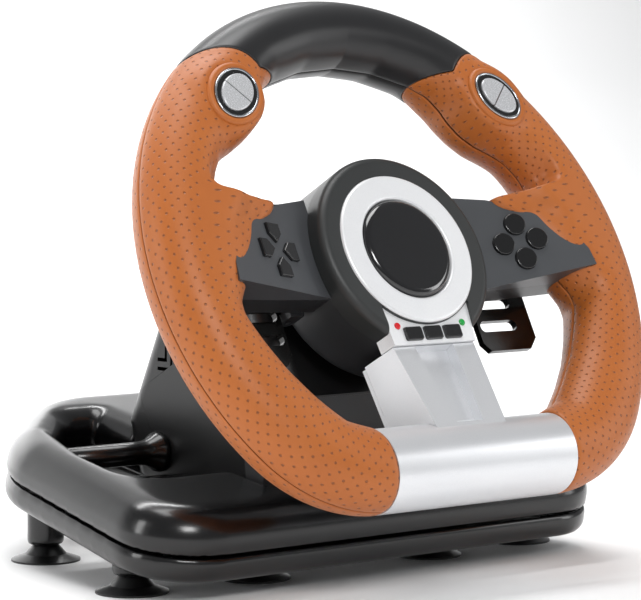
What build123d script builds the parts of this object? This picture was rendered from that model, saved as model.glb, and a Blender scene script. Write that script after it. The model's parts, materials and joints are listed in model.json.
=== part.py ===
from build123d import *
import os
from math import atan2, cos, degrees, radians, sin, sqrt

# Racing wheel on a suction-cup base, millimetres.
# +X is the driver's right, -Y points at the driver, +Z is up; the origin is under the middle of the object.

os.makedirs("parts", exist_ok=True)

# ---------------------------------------------------------------- driving dimensions
hub_height = 138.0          # middle of the hub's face above the table
hub_forward = 77.3          # hub face ahead of the object's middle
wheel_tilt = 27.5           # lean of the wheel back from upright, degrees

rim_radius = 108.5          # centre line of the round part of the rim
rim_drop = 6.6              # centre of that circle below the steering axis
rim_set_back = 9.6          # rim centre line behind the hub face
grip_radius = 17.0          # section of the rim
skin_wall = 4.0             # wall of the rim's covers
core_wall = 2.5             # wall of the rim's hollow core
bar_drop = 92.0             # centre line of the flat lower bar below the steering axis
rim_corner = 50.0           # centre-line radius between round rim and bar
bar_half = 48.4             # half length of the lower bar

pod_reach = rim_radius - 6.2    # middle of a button pod from the rim's centre
pod_angle = radians(45.75)
pod_across = pod_reach * cos(pod_angle)
pod_up = pod_reach * sin(pod_angle) - rim_drop
pod_face = grip_radius - rim_set_back + 1.9     # top of the pod bezel in front of the hub face
pod_long, pod_short = 12.0, 9.3
lobe_radius = 20.0
lobe_face = grip_radius - rim_set_back - 0.8
cover_split = pod_up + 13.3     # height on the wheel where black cover meets the grips

hub_radius = 43.0
ring_radius = 33.5          # silver ring
lens_radius = 22.2
hub_front_depth = 12.0      # front parts of the hub, hub face to frame
frame_thickness = 4.0
rear_shell_end = 42.0       # back of the rear hub shell behind the hub face
wing_depth = 24.0           # back of the spokes behind the hub face
wall = 2.0                  # general moulded wall

key_across = 66.1           # middle of the key clusters
key_up = 1.9
key_face = 2.4              # spoke plate behind the hub face at the cluster
spoke_dish = 17.0           # lean of the spoke plates, degrees
key_travel = 1.0
round_key_radius = 4.9
round_key_spread = 8.1

panel_half = 23.5           # lower hub panel
panel_top, panel_bottom = 25.0, 42.0
panel_face = 2.3
menu_pitch = 10.6
menu_down = 37.5

shaft_radius = 8.0
shaft_end = 122.0           # back end of the shaft behind the hub face
bush_wall = 3.0
bush_length = 12.0
carrier_wall = 4.0

base_front = 2.0            # front of the base behind the hub face
base_half_front = 127.0
base_half_rear = 52.0
base_half_waist = 110.0      # half width where the sides turn in
base_waist = 140.0
front_corner, waist_corner, rear_corner = 30.0, 60.0, 45.0
base_depth = 204.0
base_slope = 8.0            # rise of the base towards its back, degrees
seam_height = 18.0          # seam above the table at the front
lower_shell_height = 11.0
upper_shell_height = 19.0
base_wall = 3.0

housing_half = 47.0
housing_wall = 3.0
housing_front = 48.0        # front face of the housing behind the hub face

cup_radius = 15.0
cup_height = 7.0
stud_radius = 4.0
cup_spots = [(106.7, 47.0), (47.9, 42.0), (90.0, 136.0)]
clamp_hole_radius = 9.0
clamp_across, clamp_back = 71.0, 87.0
tube_radius = 5.0

# fits and gaps
face_gap = 0.1              # between covers that meet edge to edge
key_clearance = 0.15        # round a key in its hole
running_clearance = 0.05    # radial, shaft or pin in its bore
part_gap = 0.3              # between parts that move past each other

tilt = radians(wheel_tilt)
slope = radians(base_slope)
hub = Vector(0, -hub_forward, hub_height)
wheel_up = Vector(0, sin(tilt), cos(tilt))
wheel_out = Vector(0, -cos(tilt), sin(tilt))


def wheel_plane(out=0.0, across=0.0, up=0.0):
    """Plane square to the steering axis, placed from the middle of the hub's face."""
    origin = hub + Vector(across, 0, 0) + wheel_up * up + wheel_out * out
    return Plane(origin=origin, x_dir=(1, 0, 0), z_dir=wheel_out)


def base_plane(up=0.0):
    """Plane of the sloping base; zero is the seam, its Y runs back from the front edge."""
    origin = Vector(0, -hub_forward + base_front, seam_height)
    normal = Vector(0, -sin(slope), cos(slope))
    return Plane(origin=origin + normal * up, x_dir=(1, 0, 0), z_dir=normal)


def outline(points, mode=Mode.ADD):
    """Closed straight-sided outline, its points taken anticlockwise whichever way they are given."""
    closed = points + points[:1]
    area = sum(a[0] * b[1] - b[0] * a[1] for a, b in zip(closed, closed[1:]))
    Polygon(*(points if area > 0 else points[::-1]), align=None, mode=mode)


def save(part, name):
    """Label a finished piece and write its file."""
    part.label = name
    export_step(part, f"parts/{name}.step")


# ---------------------------------------------------------------- rim
corner_across = sqrt((rim_radius - rim_corner) ** 2 - (bar_drop - rim_corner - rim_drop) ** 2)
corner_down = bar_drop - rim_corner
turn_angle = degrees(atan2(corner_down - rim_drop, corner_across))


def rim_tube(radius):
    """Closed D-shaped bar of the rim: a round section swept round its centre line."""
    with BuildPart() as tube:
        with BuildLine(wheel_plane(-rim_set_back)) as path:
            CenterArc((0, -rim_drop), rim_radius, -turn_angle, 180 + 2 * turn_angle)
            CenterArc((-corner_across, -corner_down), rim_corner, 180 + turn_angle, 90 - turn_angle)
            Line((-corner_across, -bar_drop), (corner_across, -bar_drop))
            CenterArc((corner_across, -corner_down), rim_corner, 270, 90 - turn_angle)
        with BuildSketch(Plane(origin=path.line @ 0, x_dir=wheel_out, z_dir=path.line % 0)):
            Circle(radius)
        sweep(path=path.line)
    return tube.part


core_radius = grip_radius - skin_wall
rim_bar = rim_tube(grip_radius)
rim_bore = rim_tube(core_radius)
rim_core_bore = rim_tube(core_radius - core_wall)
rim_envelope = rim_tube(grip_radius + face_gap)
pod_region = grip_radius + 6.0


def pod_spots():
    return Locations((-pod_across - 1.6, pod_up), (pod_across + 1.6, pod_up))


def top_region():
    """Part of the rim under the black cover: above the split, less the two pod lobes."""
    with Locations((0, cover_split + rim_radius + face_gap)):
        Rectangle(4 * rim_radius, 2 * rim_radius)
    with pod_spots():
        Circle(pod_region + face_gap, mode=Mode.SUBTRACT)


def grip_region(side):
    """Part of the rim under one grip: below the split and outside the bar, with its pod lobe."""
    with Locations((side * 2 * rim_radius, cover_split - 2 * rim_radius)):
        Rectangle(4 * rim_radius, 4 * rim_radius)
    with Locations((0, -2 * rim_radius)):
        Rectangle(2 * (bar_half + face_gap), 4 * rim_radius - bar_drop, mode=Mode.SUBTRACT)
    with Locations((side * (pod_across + 1.6), pod_up)):
        Circle(pod_region)


def bar_region():
    with Locations((0, -bar_drop)):
        Rectangle(2 * bar_half, 4 * grip_radius)


def rim_half(draw_region, front):
    """Front or rear half of the rim skin within a region."""
    side = 1 if front else -1
    with BuildPart() as half:
        add(rim_bar)
        with BuildSketch(wheel_plane(-rim_set_back + side * face_gap / 2)):
            draw_region()
        extrude(amount=side * 2 * grip_radius, mode=Mode.INTERSECT)
    return half.part


pod_floor = pod_face - 5.7
pod_turn = degrees(atan2(pod_up + rim_drop, pod_across))

for front, name in ((True, "top_cover_front"), (False, "top_cover_rear")):
    with BuildPart() as top_cover:
        add(rim_half(top_region, front))
        add(rim_bore, mode=Mode.SUBTRACT)
    save(top_cover.part, name)

arm_end = rim_radius - 11.5
arm_low, arm_high = -10.0, 15.0


def arm_outline(side, room=0.0):
    """Flat arm of the frame that runs from the hub out into the rim's core."""
    with Locations((side * arm_end / 2, (arm_low + arm_high) / 2)):
        Rectangle(arm_end + room, arm_high - arm_low + 2 * room)


def pod_lobe(side, front):
    """Round swelling of the grip that carries its button pod, front or rear half."""
    facing = 1 if front else -1
    depth = lobe_face + rim_set_back if front else grip_radius - 3.0
    with BuildPart() as lobe:
        with BuildSketch(wheel_plane(-rim_set_back + facing * face_gap / 2)):
            with Locations((side * (pod_across + 1.6), pod_up)):
                Circle(lobe_radius)
        extrude(amount=facing * depth)
        rims = lobe.edges().filter_by(GeomType.CIRCLE).sort_by(Axis(hub, wheel_out))
        fillet(rims[-1] if front else rims[0], radius=7.0)
    return lobe.part


for side, hand in ((-1, "left"), (1, "right")):
    for front, end in ((True, "front"), (False, "rear")):
        with BuildPart() as grip:
            add(rim_half(lambda: grip_region(side), front))
            add(pod_lobe(side, front))
            add(rim_bore, mode=Mode.SUBTRACT)
            if front:
                with BuildSketch(wheel_plane(pod_floor, side * pod_across, pod_up)):
                    Ellipse(pod_long, pod_short, rotation=90 + side * pod_turn)
                extrude(amount=grip_radius, mode=Mode.SUBTRACT)
            else:
                with BuildSketch(wheel_plane(-hub_front_depth + face_gap)):
                    arm_outline(side, face_gap)
                extrude(amount=-frame_thickness - 2 * face_gap, mode=Mode.SUBTRACT)
        save(grip.part, f"grip_{hand}_{end}")

# ---------------------------------------------------------------- lower bar with its two struts
strut_top, strut_end = panel_bottom + 0.3, 82.0
strut_top_half, strut_end_half = 22.0, 18.5
channel_top_half, channel_end_half = 10.5, 7.0
channel_depth = 5.0
strut_top_face = 4.0
strut_lean = 9.9
arm_half = 6.0


def strut_outline(top_half, end_half, top, end):
    """Tapered outline from the hub panel down to the bar."""
    outline([(-top_half, -top), (-end_half, -end), (end_half, -end), (top_half, -top)])


def strut_face(depth=0.0):
    """Plane of the struts' front faces, which come forward towards the bar."""
    lean = radians(strut_lean)
    normal = wheel_up * sin(lean) + wheel_out * cos(lean)
    origin = hub - wheel_up * strut_top - wheel_out * strut_top_face - normal * depth
    return Plane(origin=origin, x_dir=(1, 0, 0), z_dir=normal)


with BuildPart() as rear_envelope:
    add(rim_envelope)
    with BuildSketch(wheel_plane(-rim_set_back)):
        Rectangle(6 * rim_radius, 6 * rim_radius)
    extrude(amount=-2 * grip_radius, mode=Mode.INTERSECT)

with BuildPart() as struts:
    with BuildSketch(wheel_plane(-wing_depth)):
        strut_outline(strut_top_half, strut_end_half, strut_top, strut_end)
    extrude(amount=wing_depth + grip_radius)
    with BuildSketch(strut_face()):
        Rectangle(4 * strut_top_half, 6 * strut_end)
    extrude(amount=2 * grip_radius, mode=Mode.SUBTRACT)
    with BuildSketch(strut_face(channel_depth)):
        strut_outline(channel_top_half, channel_end_half, 0, strut_end - strut_top - 3.0)
    extrude(amount=2 * channel_depth, mode=Mode.SUBTRACT)
    with BuildSketch(wheel_plane(-wing_depth)):
        strut_outline(strut_top_half - wall, strut_end_half - wall, strut_top + wall, bar_drop - grip_radius - wall)
    extrude(amount=wing_depth - strut_top_face - channel_depth - wall, mode=Mode.SUBTRACT)
    add(rear_envelope.part, mode=Mode.SUBTRACT)
    with BuildSketch(wheel_plane(-hub_front_depth + face_gap)):
        with Locations((0, -(strut_top + strut_end) / 2)):
            Rectangle(2 * (arm_half + face_gap), strut_end - strut_top + 2 * wall)
    extrude(amount=-frame_thickness - 2 * face_gap, mode=Mode.SUBTRACT)

with BuildPart() as lower_bar_front:
    add(rim_half(bar_region, True))
    add(struts.part)
    add(rim_bore, mode=Mode.SUBTRACT)
save(lower_bar_front.part, "lower_bar_front")

with BuildPart() as lower_bar_rear:
    add(rim_half(bar_region, False))
    with BuildSketch(wheel_plane(-wing_depth - face_gap)):
        strut_outline(strut_top_half, strut_end_half, hub_radius + part_gap, bar_drop - grip_radius / 2)
    extrude(amount=-wall)
    add(rim_bore, mode=Mode.SUBTRACT)
    with BuildSketch(wheel_plane(-hub_front_depth + face_gap)):
        with Locations((0, -bar_drop / 2)):
            Rectangle(2 * (arm_half + face_gap), bar_drop)
    extrude(amount=-frame_thickness - 2 * face_gap, mode=Mode.SUBTRACT)
save(lower_bar_rear.part, "lower_bar_rear")

# ---------------------------------------------------------------- spoke plates and their keys
spoke_inner_top, spoke_inner_bottom = 28.0, -16.5
spoke_outer_bottom = -14.0
spoke_outer_end = rim_radius - 11.5
spoke_curve = [(40.0, 23.4), (31.0, 19.8), (21.0, 15.2), (12.0, 9.2), (5.0, 1.6), (1.0, -6.5)]  # top edge: in from the end, up
plate_skin = 1.6
flange_thickness, flange_width = 0.8, 0.7
key_proud = 1.4
board_thickness = 1.2
board_depth = plate_skin + face_gap + flange_thickness + key_travel + face_gap
dish = radians(spoke_dish)


def spoke_outline(side, inset=0.0):
    """One spoke seen from the driver, from the hub out into the rim."""
    inner = side * (hub_radius - 3 * wall)
    top_edge = [(side * (spoke_outer_end - back - inset), up - inset) for back, up in spoke_curve]
    outline([(inner, spoke_inner_top - inset)] + top_edge + [
        (side * (spoke_outer_end - inset), spoke_outer_bottom + inset),
        (side * (hub_radius + wall), spoke_inner_bottom + inset),
        (inner, spoke_inner_bottom + inset),
    ])


def key_plane(side, depth=0.0):
    """Plane of one spoke plate's face, middle of its key cluster; depth goes in from the face."""
    normal = wheel_out * cos(dish) - Vector(side * sin(dish), 0, 0)
    origin = hub + Vector(side * key_across, 0, 0) + wheel_up * key_up - wheel_out * key_face
    across = Vector(cos(dish), 0, 0) + wheel_out * (side * sin(dish))
    return Plane(origin=origin - normal * depth, x_dir=across, z_dir=normal)


def spoke_wedge(side, inset, depth):
    """Wedge from the frame's face up to a depth under the dished face."""
    with BuildPart() as wedge:
        with BuildSketch(wheel_plane(-hub_front_depth)):
            spoke_outline(side, inset)
            Circle(hub_radius + face_gap + inset, mode=Mode.SUBTRACT)
        extrude(amount=hub_front_depth + grip_radius)
        with BuildSketch(key_plane(side, depth)):
            Rectangle(4 * key_across, 4 * key_across)
        extrude(amount=2 * key_across, mode=Mode.SUBTRACT)
    return wedge.part


def pad_key_outline(turn):
    """Five-sided direction key that points at the middle of its cluster."""
    tip, shoulder, outer, half = 3.2, 7.0, 11.6, 3.9
    corners = [(tip, 0), (shoulder, half), (outer, half), (outer, -half), (shoulder, -half)]
    turned = [Vector(x, y).rotate(Axis.Z, turn) for x, y in corners]
    outline([(point.X, point.Y) for point in turned])


def round_key_outline(turn):
    place = Vector(round_key_spread, 0).rotate(Axis.Z, turn)
    with Locations((place.X, place.Y)):
        Circle(round_key_radius)


key_shapes = {-1: pad_key_outline, 1: round_key_outline}
key_turns = (("up", 90), ("left", 180), ("down", 270), ("right", 0))
key_group = {-1: "pad_key", 1: "round_key"}

for side, hand in ((-1, "left"), (1, "right")):
    with BuildPart() as spoke_plate:
        add(spoke_wedge(side, 0, 0))
        add(spoke_wedge(side, wall, plate_skin), mode=Mode.SUBTRACT)
        add(rim_envelope, mode=Mode.SUBTRACT)
        for _, turn in key_turns:
            with BuildSketch(key_plane(side, board_depth)):
                key_shapes[side](turn)
                offset(amount=key_clearance, kind=Kind.INTERSECTION)
            extrude(amount=2 * board_depth, mode=Mode.SUBTRACT)
    save(spoke_plate.part, f"spoke_plate_{hand}")

    for label, turn in key_turns:
        with BuildPart() as key:
            with BuildSketch(key_plane(side, plate_skin + face_gap)):
                key_shapes[side](turn)
            extrude(amount=plate_skin + face_gap + key_proud)
            top = key.faces().sort_by(Axis(key_plane(side).origin, key_plane(side).z_dir))[-1]
            fillet(top.edges(), radius=0.5)
            with BuildSketch(key_plane(side, plate_skin + face_gap + flange_thickness)):
                key_shapes[side](turn)
                offset(amount=flange_width, kind=Kind.INTERSECTION)
            extrude(amount=flange_thickness)
        save(key.part, f"{key_group[side]}_{label}")

# ---------------------------------------------------------------- frame inside the wheel
post_radius = 2.0
post_spread = 5.0
frame_disc_radius = 40.0
screw_radius = 1.5
frame_screws = [(side * key_across, up) for side in (-1, 1) for up in (12.0, -7.5)]
menu_board_depth = panel_face + board_depth
menu_posts = [(-5.0, -menu_down), (5.0, -menu_down)]


def above_spoke(side, inset):
    """What lies over a spoke's top edge, out to the rim."""
    top_edge = [(side * (spoke_outer_end - back - inset), up - inset) for back, up in spoke_curve]
    top = spoke_inner_top + wall
    end = side * (spoke_outer_end + wall)
    outline(top_edge + [(end, top_edge[-1][1]), (end, top), (top_edge[0][0], top)])


with BuildPart() as arm_corners:
    with BuildSketch(wheel_plane(-hub_front_depth + face_gap)):
        above_spoke(-1, wall + face_gap)
        above_spoke(1, wall + face_gap)
    extrude(amount=-frame_thickness - 2 * face_gap)
    add(rim_envelope, mode=Mode.SUBTRACT)

with BuildPart() as wheel_frame:
    add(rim_tube(core_radius - face_gap))
    add(rim_core_bore, mode=Mode.SUBTRACT)
    with BuildSketch(wheel_plane(-hub_front_depth - frame_thickness)):
        Circle(frame_disc_radius)
        arm_outline(-1)
        arm_outline(1)
        with Locations((0, -(bar_drop - core_radius + 2.0) / 2)):
            Rectangle(2 * arm_half, bar_drop - core_radius + 2.0)
    extrude(amount=frame_thickness)
    add(arm_corners.part, mode=Mode.SUBTRACT)
    for side in (-1, 1):
        with BuildSketch(key_plane(side, board_depth + board_thickness)):
            with Locations((0, post_spread), (0, -post_spread)):
                Circle(post_radius)
        extrude(amount=-frame_thickness - wall)
    with BuildSketch(wheel_plane(-hub_front_depth)):
        with Locations(*menu_posts):
            Circle(post_radius)
    extrude(amount=hub_front_depth - menu_board_depth - board_thickness)
    with BuildSketch(wheel_plane(-hub_front_depth)):
        with Locations(*frame_screws):
            Circle(screw_radius + running_clearance)
    extrude(amount=-frame_thickness, mode=Mode.SUBTRACT)
save(wheel_frame.part, "wheel_frame")

board_long, board_wide, board_drop = 25.0, 19.5, 2.3
menu_long, menu_high = 9.0, 5.8
with BuildPart() as button_boards:
    for side in (-1, 1):
        with BuildSketch(key_plane(side, board_depth + board_thickness)):
            with Locations((0, -board_drop)):
                RectangleRounded(board_long, board_wide, 2.0)
        extrude(amount=board_thickness)
    with BuildSketch(wheel_plane(-menu_board_depth - board_thickness)):
        with Locations((0, -menu_down - part_gap)):
            RectangleRounded(2 * panel_half - 6.0, menu_high - 2 * part_gap, 1.0)
    extrude(amount=board_thickness)
save(button_boards.part, "button_boards")

# ---------------------------------------------------------------- hub front: bezel, ring, lens, lower panel
bezel_floor_back, bezel_floor_front = 8.0, 5.0
bezel_face = 1.0
bezel_slope = 3.5


def panel_outline(room=0.0):
    """Lower hub panel: a tapered block under the silver ring."""
    top, bottom = panel_half + room, panel_half - 1.5 + room
    outline([
        (-top, -panel_top + room),
        (-bottom, -panel_bottom - room),
        (bottom, -panel_bottom - room),
        (top, -panel_top + room),
    ])
    Circle(ring_radius + part_gap - room, mode=Mode.SUBTRACT)


with BuildPart() as hub_bezel:
    with BuildSketch(wheel_plane(-hub_front_depth)):
        Circle(hub_radius)
    extrude(amount=hub_front_depth - bezel_face)
    edge = hub_bezel.edges().filter_by(GeomType.CIRCLE).sort_by(Axis(hub, wheel_out))[-1]
    fillet(edge, radius=bezel_slope)
    with BuildSketch(wheel_plane(-hub_front_depth)):
        Circle(hub_radius - wall)
    extrude(amount=hub_front_depth - bezel_floor_back, mode=Mode.SUBTRACT)
    with BuildSketch(wheel_plane(-bezel_floor_front)):
        Circle(ring_radius + face_gap)
    extrude(amount=hub_front_depth, mode=Mode.SUBTRACT)
    with BuildSketch(wheel_plane(-hub_front_depth)):
        panel_outline(face_gap)
        with Locations((0, -strut_top - grip_radius)):
            Rectangle(2 * (strut_top_half + part_gap), 2 * grip_radius + 4 * part_gap)
    extrude(amount=2 * hub_front_depth, mode=Mode.SUBTRACT)
save(hub_bezel.part, "hub_bezel")

with BuildPart() as hub_ring:
    with BuildSketch(wheel_plane(-bezel_floor_front)):
        Circle(ring_radius)
        Circle(lens_radius + face_gap, mode=Mode.SUBTRACT)
    extrude(amount=bezel_floor_front)
    fillet(hub_ring.faces().sort_by(Axis(hub, wheel_out))[-1].edges(), radius=1.5)
save(hub_ring.part, "hub_ring")

with BuildPart() as hub_lens:
    with BuildSketch(wheel_plane(-bezel_floor_front)):
        Circle(lens_radius)
    extrude(amount=bezel_floor_front + 1.0)
    fillet(hub_lens.faces().sort_by(Axis(hub, wheel_out))[-1].edges(), radius=3.0)
save(hub_lens.part, "hub_lens")

lamp_across, lamp_down, lamp_radius = 17.6, 33.7, 1.5
menu_spots = [(-menu_pitch, -menu_down), (0, -menu_down), (menu_pitch, -menu_down)]
lamp_spots = [(-lamp_across, -lamp_down), (lamp_across, -lamp_down)]

with BuildPart() as lower_panel:
    with BuildSketch(wheel_plane(-hub_front_depth)):
        panel_outline()
    extrude(amount=hub_front_depth - panel_face)
    with BuildSketch(wheel_plane(-hub_front_depth)):
        panel_outline(-wall / 2)
    extrude(amount=hub_front_depth - panel_face - plate_skin, mode=Mode.SUBTRACT)
    with BuildSketch(wheel_plane(-hub_front_depth)):
        with Locations(*menu_spots):
            RectangleRounded(menu_long + 2 * key_clearance, menu_high + 2 * key_clearance, 1.0)
        with Locations(*lamp_spots):
            Circle(lamp_radius + running_clearance)
    extrude(amount=hub_front_depth, mode=Mode.SUBTRACT)
save(lower_panel.part, "lower_panel")

for number, spot in enumerate(menu_spots, start=1):
    with BuildPart() as menu_button:
        with BuildSketch(wheel_plane(-panel_face - plate_skin - face_gap, *spot)):
            RectangleRounded(menu_long, menu_high, 1.0)
        extrude(amount=plate_skin + face_gap + key_travel + 0.2)
        fillet(menu_button.faces().sort_by(Axis(hub, wheel_out))[-1].edges(), radius=0.5)
        with BuildSketch(wheel_plane(-panel_face - plate_skin - face_gap - flange_thickness, *spot)):
            Rectangle(menu_long + 2 * flange_width, menu_high)
        extrude(amount=flange_thickness)
    save(menu_button.part, f"menu_button_{number}")

with BuildPart() as status_lamps:
    with BuildSketch(wheel_plane(-menu_board_depth)):
        with Locations(*lamp_spots):
            Circle(lamp_radius)
    extrude(amount=board_depth + 0.6)
    fillet(status_lamps.faces().sort_by(Axis(hub, wheel_out))[-2:].edges(), radius=0.6)
save(status_lamps.part, "status_lamps")

# ---------------------------------------------------------------- pods on the grips
pod_wall, pod_lip = 1.4, 0.8
pod_base = 1.2
pod_lip_depth = 1.7
pod_button_gap = 0.6
pod_travel = 0.8
pod_button_face = pod_face + 0.9

for side, hand in ((-1, "left"), (1, "right")):
    turn = 90 + side * pod_turn
    with BuildPart() as pod_bezel:
        with BuildSketch(wheel_plane(pod_floor, side * pod_across, pod_up)):
            Ellipse(pod_long - face_gap, pod_short - face_gap, rotation=turn)
        extrude(amount=pod_face - pod_floor)
        fillet(pod_bezel.faces().sort_by(Axis(hub, wheel_out))[-1].edges(), radius=0.6)
        with BuildSketch(wheel_plane(pod_floor + pod_base, side * pod_across, pod_up)):
            Ellipse(pod_long - pod_wall, pod_short - pod_wall, rotation=turn)
        extrude(amount=pod_face - pod_floor - pod_base - pod_lip_depth, mode=Mode.SUBTRACT)
        with BuildSketch(wheel_plane(pod_floor + pod_base, side * pod_across, pod_up)):
            Ellipse(pod_long - pod_wall - pod_lip, pod_short - pod_wall - pod_lip, rotation=turn)
        extrude(amount=grip_radius, mode=Mode.SUBTRACT)
    save(pod_bezel.part, f"pod_bezel_{hand}")

    for half, label in ((1, "upper"), (-1, "lower")):
        bottom = pod_floor + pod_base + pod_travel + 2 * face_gap
        flange_top = pod_face - pod_lip_depth - face_gap
        long_in, short_in = pod_long - pod_wall - pod_lip, pod_short - pod_wall - pod_lip
        with BuildPart() as pod_button:
            with BuildSketch(wheel_plane(bottom, side * pod_across, pod_up)):
                Ellipse(long_in - key_clearance, short_in - key_clearance, rotation=turn)
            extrude(amount=pod_button_face - bottom)
            fillet(pod_button.faces().sort_by(Axis(hub, wheel_out))[-1].edges(), radius=0.6)
            with BuildSketch(wheel_plane(bottom, side * pod_across, pod_up)):
                Ellipse(long_in + pod_lip / 2, short_in + pod_lip / 2, rotation=turn)
            extrude(amount=flange_top - bottom)
            with BuildSketch(wheel_plane(bottom, side * pod_across, pod_up)):
                away = Vector(half * (pod_long + pod_button_gap / 2), 0).rotate(Axis.Z, turn * side)
                with Locations(Location((side * away.X, away.Y), turn)):
                    Rectangle(2 * pod_long, 4 * pod_short)
            extrude(amount=grip_radius, mode=Mode.INTERSECT)
        save(pod_button.part, f"pod_button_{hand}_{label}")

# ---------------------------------------------------------------- rear hub shell, paddles and their pins
hinge_across, hinge_back = 48.0, 31.0
hinge_low, hinge_high = -13.7, 5.7
barrel_radius, pin_radius = 3.0, 1.25
lug_width, lug_half = 4.0, 3.5
paddle_thickness = 3.0
paddle_end = 84.0
slot_inner, slot_outer = 54.0, 75.0
boss_radius = 3.5


def hub_outline(inset=0.0):
    """Hub disc with a spoke each side."""
    spoke_outline(-1, inset)
    spoke_outline(1, inset)
    Circle(hub_radius - inset)


def hinge_plane(side, up):
    """Plane square to a paddle's hinge pin, at a height on the wheel."""
    origin = hub + Vector(side * hinge_across, 0, 0) + wheel_up * up - wheel_out * hinge_back
    return Plane(origin=origin, x_dir=(1, 0, 0), z_dir=wheel_up)


with BuildPart() as hub_rear_shell:
    with BuildSketch(wheel_plane(-wing_depth)):
        hub_outline()
    extrude(amount=wing_depth - hub_front_depth - face_gap)
    with BuildSketch(wheel_plane(-rear_shell_end)):
        Circle(hub_radius)
    extrude(amount=rear_shell_end - wing_depth)
    back_edge = hub_rear_shell.edges().filter_by(GeomType.CIRCLE).sort_by(Axis(hub, wheel_out))[0]
    fillet(back_edge, radius=6.0)
    with BuildSketch(wheel_plane(-rear_shell_end + wall + 1.0)):
        Circle(hub_radius - 2 * wall)
    extrude(amount=rear_shell_end - wing_depth, mode=Mode.SUBTRACT)
    with BuildSketch(wheel_plane(-wing_depth + wall)):
        hub_outline(wall)
    extrude(amount=wing_depth, mode=Mode.SUBTRACT)
    with BuildSketch(wheel_plane(-wing_depth + wall)):
        with Locations(*frame_screws):
            Circle(boss_radius)
    extrude(amount=wing_depth - wall - hub_front_depth - frame_thickness - face_gap)
    for side in (-1, 1):
        for low in (hinge_low - part_gap - lug_width, hinge_high + part_gap):
            with BuildSketch(hinge_plane(side, low)):
                with Locations((0, -(hinge_back - wing_depth) / 2)):
                    Rectangle(2 * lug_half, hinge_back - wing_depth)
                Circle(lug_half)
                Circle(pin_radius + 0.02, mode=Mode.SUBTRACT)
            extrude(amount=lug_width)
    with BuildSketch(wheel_plane(-wing_depth - wall)):
        with Locations(*frame_screws):
            Circle(screw_radius + running_clearance)
    extrude(amount=wing_depth, mode=Mode.SUBTRACT)
    with BuildSketch(wheel_plane(-rear_shell_end - wall)):
        Circle(shaft_radius + part_gap)
    extrude(amount=rear_shell_end, mode=Mode.SUBTRACT)
    with BuildSketch(wheel_plane(-wing_depth - face_gap - wall - face_gap)):
        with Locations((0, -strut_top - grip_radius + face_gap)):
            Rectangle(2 * (strut_top_half + part_gap), 2 * grip_radius)
    extrude(amount=wing_depth, mode=Mode.SUBTRACT)
    with BuildSketch(wheel_plane(-hub_front_depth + face_gap)):
        with Locations((0, -hub_radius)):
            Rectangle(2 * (arm_half + face_gap), 4 * wall)
    extrude(amount=-frame_thickness - 2 * face_gap, mode=Mode.SUBTRACT)
    add(rim_envelope, mode=Mode.SUBTRACT)
save(hub_rear_shell.part, "hub_rear_shell")

with BuildPart() as wheel_screws:
    with BuildSketch(wheel_plane(-wing_depth - wall)):
        with Locations(*frame_screws):
            Circle(2 * screw_radius)
    extrude(amount=wall)
    with BuildSketch(wheel_plane(-wing_depth)):
        with Locations(*frame_screws):
            Circle(screw_radius)
    extrude(amount=wing_depth - hub_front_depth - wall / 2)
save(wheel_screws.part, "wheel_screws")

for side, hand in ((-1, "left"), (1, "right")):
    with BuildPart() as paddle:
        with BuildSketch(wheel_plane(-hinge_back - paddle_thickness / 2)):
            outline([(side * across, up) for across, up in (
                (hinge_across, hinge_low),
                (hinge_across + lug_half + 1.0, hinge_low),
                (hinge_across + lug_half + 1.0, -33.0),
                (hinge_across + 2 * lug_half + 1.0, -37.0),
                (paddle_end - 5.0, -37.0),
                (paddle_end, -32.0),
                (paddle_end, -12.0),
                (paddle_end - 5.0, -5.0),
                (hinge_across + 3 * lug_half, hinge_high - 1.5),
                (hinge_across, hinge_high),
            )])
            with Locations((side * (slot_inner + slot_outer) / 2, -15.0), (side * (slot_inner + slot_outer) / 2, -25.5)):
                SlotOverall(slot_outer - slot_inner, 5.0, mode=Mode.SUBTRACT)
        extrude(amount=paddle_thickness)
        with BuildSketch(hinge_plane(side, hinge_low)):
            Circle(barrel_radius)
        extrude(amount=hinge_high - hinge_low)
        with BuildSketch(hinge_plane(side, hinge_low)):
            Circle(pin_radius + running_clearance)
        extrude(amount=hinge_high - hinge_low, mode=Mode.SUBTRACT)
    save(paddle.part, f"paddle_{hand}")

with BuildPart() as paddle_pins:
    for side in (-1, 1):
        with BuildSketch(hinge_plane(side, hinge_low - part_gap - lug_width)):
            Circle(pin_radius)
        extrude(amount=hinge_high - hinge_low + 2 * (part_gap + lug_width))
save(paddle_pins.part, "paddle_pins")

# ---------------------------------------------------------------- steering shaft and what carries it
flange_radius = 20.0
shaft_bore = 4.0
stop_front, stop_back = 88.0, 94.0
stop_reach, stop_half = 20.0, 4.0
carrier_front = housing_front + housing_wall
carrier_flange = 28.0
carrier_end = 86.0
bush_outer = shaft_radius + running_clearance + bush_wall
carrier_outer = bush_outer + carrier_wall
spine_top, spine_thickness, spine_half = 22.0, 4.0, 12.0
sensor_front, sensor_back = 114.0, 126.0
spring_front, spring_back = 96.0, 110.0
spring_wire, spring_turns = 1.2, 5
spring_radius = shaft_radius + spring_wire + 1.5

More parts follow.
